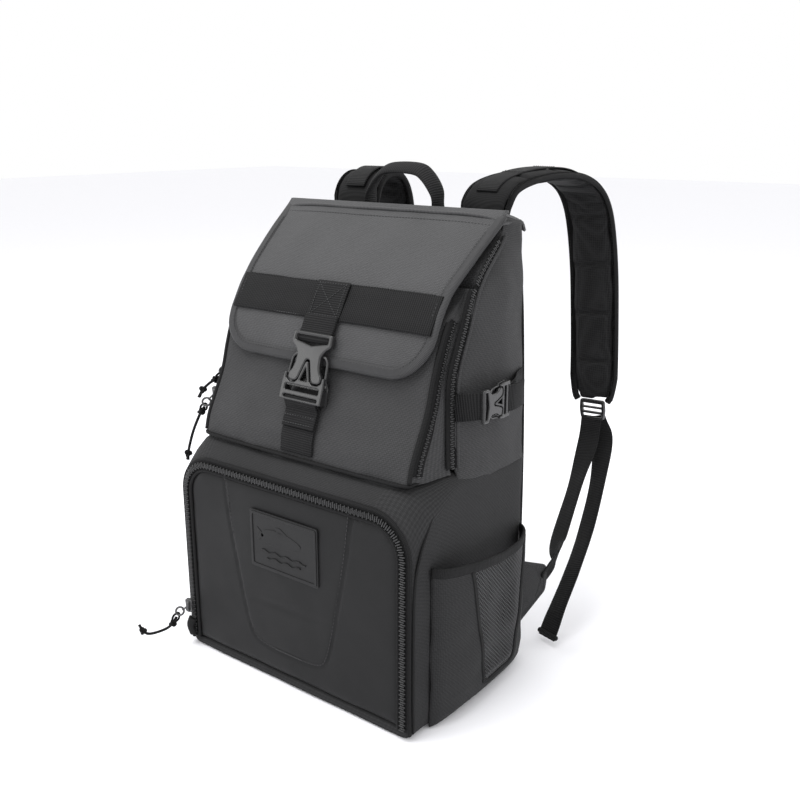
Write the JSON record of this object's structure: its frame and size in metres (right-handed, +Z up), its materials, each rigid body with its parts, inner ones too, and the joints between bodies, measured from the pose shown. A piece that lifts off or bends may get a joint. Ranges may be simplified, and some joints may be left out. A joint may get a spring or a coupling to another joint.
{
  "type": "tackle backpack",
  "caption": "Fishing backpack with a zipped tackle bay, a buckled flap over the main compartment, side pockets and shoulder straps.",
  "frame": {"origin": "centre of the base panel's underside", "axes": "+Z up, front of the bag towards -Y, +X to the right when seen from the front"},
  "size_m": [0.3608, 0.4538, 0.502],
  "materials": {
    "pack_fabric": "coated woven twill",
    "smooth_fabric": "smooth matt laminate",
    "strap_fabric": "fine woven",
    "mesh_fabric": "open knitted mesh",
    "webbing": "ribbed polyester webbing",
    "stiffener_board": "flat sheet",
    "buckle_plastic": "moulded satin",
    "zip_tape": "woven tape with coil",
    "zip_hardware": "black coated",
    "badge_rubber": "moulded matt",
    "pull_cord": "braided"
  },
  "bodies": {
    "pack_shell": {"base_panel": "pack_fabric", "base_board": "stiffener_board", "back_panel": "pack_fabric", "back_stiffener": "stiffener_board", "back_pads": "mesh_fabric", "lower_side_left": "pack_fabric", "lower_side_right": "pack_fabric", "front_frame": "pack_fabric", "divider_shelf": "pack_fabric", "upper_side_left": "pack_fabric", "upper_side_right": "pack_fabric", "top_panel": "pack_fabric", "throat_panel": "pack_fabric", "harness_yoke": "webbing", "side_pocket_left": "mesh_fabric", "side_pocket_right": "mesh_fabric", "pocket_binding_left": "webbing", "pocket_binding_right": "webbing", "door_zip_frame": "zip_tape", "shoulder_strap_left": "strap_fabric", "shoulder_strap_right": "strap_fabric", "ladder_locks": "buckle_plastic", "strap_webbing_left": "webbing", "strap_webbing_right": "webbing", "strap_tail_left": "webbing", "strap_tail_right": "webbing", "strap_wings": "strap_fabric", "side_web_front_left": "webbing", "side_web_front_right": "webbing", "side_web_rear_left": "webbing", "side_web_rear_right": "webbing", "side_buckle_female_left": "buckle_plastic", "side_buckle_female_right": "buckle_plastic"},
    "grab_handle": {"grab_handle": "webbing"},
    "flap": {"flap_panel": "pack_fabric", "flap_binding": "webbing", "flap_band": "webbing"},
    "buckle_male": {"buckle_male": "buckle_plastic", "flap_strap": "webbing"},
    "front_section": {"main_front_panel": "pack_fabric", "front_pocket_gusset": "pack_fabric", "front_pocket_panel": "pack_fabric", "front_pocket_zip": "zip_tape", "front_strap": "webbing", "buckle_female": "buckle_plastic"},
    "pocket_slider": {"pocket_slider": "zip_hardware"},
    "pocket_pull": {"pocket_pull_ring": "zip_hardware", "pocket_pull_cord": "pull_cord"},
    "door": {"door_panel": "smooth_fabric", "door_board": "stiffener_board", "door_zip_edge": "zip_tape", "door_badge": "badge_rubber"},
    "door_slider": {"door_slider": "zip_hardware"},
    "door_pull": {"door_pull_ring": "zip_hardware", "door_pull_cord": "pull_cord"},
    "main_slider": {"main_slider": "zip_hardware"},
    "main_pull": {"main_pull_ring": "zip_hardware", "main_pull_cord": "pull_cord"},
    "side_male_left": {"side_buckle_male_left": "buckle_plastic"},
    "side_male_right": {"side_buckle_male_right": "buckle_plastic"}
  },
  "joints": [
    {"name": "flap_hinge", "type": "hinge", "parent": "pack_shell", "child": "flap", "pos_m": [0, 0.0635, 0.4625], "axis": [-1, 0, 0], "range_deg": [0, 140]},
    {"name": "front_fold", "type": "hinge", "parent": "pack_shell", "child": "front_section", "pos_m": [0, -0.081, 0.24], "axis": [1, 0, 0], "range_deg": [0, 42]},
    {"name": "buckle_release", "type": "slide", "parent": "flap", "child": "buckle_male", "axis": [0, 0.342, 0.9397], "range_m": [0, 0.022]},
    {"name": "door_hinge", "type": "hinge", "parent": "pack_shell", "child": "door", "pos_m": [0, -0.099, 0.009], "axis": [1, 0, 0], "range_deg": [0, 91]},
    {"name": "door_zip", "type": "slide", "parent": "pack_shell", "child": "door_slider", "axis": [0, 0, 1], "range_m": [0, 0.12]},
    {"name": "door_pull_swing", "type": "hinge", "parent": "door_slider", "child": "door_pull", "pos_m": [-0.1475, -0.1055, 0.043], "axis": [-0.7001, 0.7141, 0], "range_deg": [0, 60]},
    {"name": "main_zip", "type": "slide", "parent": "pack_shell", "child": "main_slider", "axis": [0, 0, 1], "range_m": [0, 0.025]},
    {"name": "main_pull_swing", "type": "hinge", "parent": "main_slider", "child": "main_pull", "pos_m": [-0.1411, -0.0315, 0.2955], "axis": [-0.7502, 0.6612, 0], "range_deg": [0, 60]},
    {"name": "pocket_zip", "type": "slide", "parent": "front_section", "child": "pocket_slider", "axis": [0, 0.4472, 0.8944], "range_m": [0, 0.024]},
    {"name": "pocket_pull_swing", "type": "hinge", "parent": "pocket_slider", "child": "pocket_pull", "pos_m": [-0.1365, -0.0615, 0.2705], "axis": [-0.2501, 0.9682, 0], "range_deg": [0, 60]},
    {"name": "handle_fold", "type": "hinge", "parent": "pack_shell", "child": "grab_handle", "pos_m": [0, 0.0965, 0.4635], "axis": [-1, 0, 0], "range_deg": [0, 80]},
    {"name": "side_release_left", "type": "slide", "parent": "pack_shell", "child": "side_male_left", "axis": [0, -1, 0], "range_m": [0, 0.016]},
    {"name": "side_release_right", "type": "slide", "parent": "pack_shell", "child": "side_male_right", "axis": [0, -1, 0], "range_m": [0, 0.016]}
  ],
  "couplings": [
    {"joint": "front_fold", "follows": "flap_hinge", "ratio": 0.3}
  ]
}
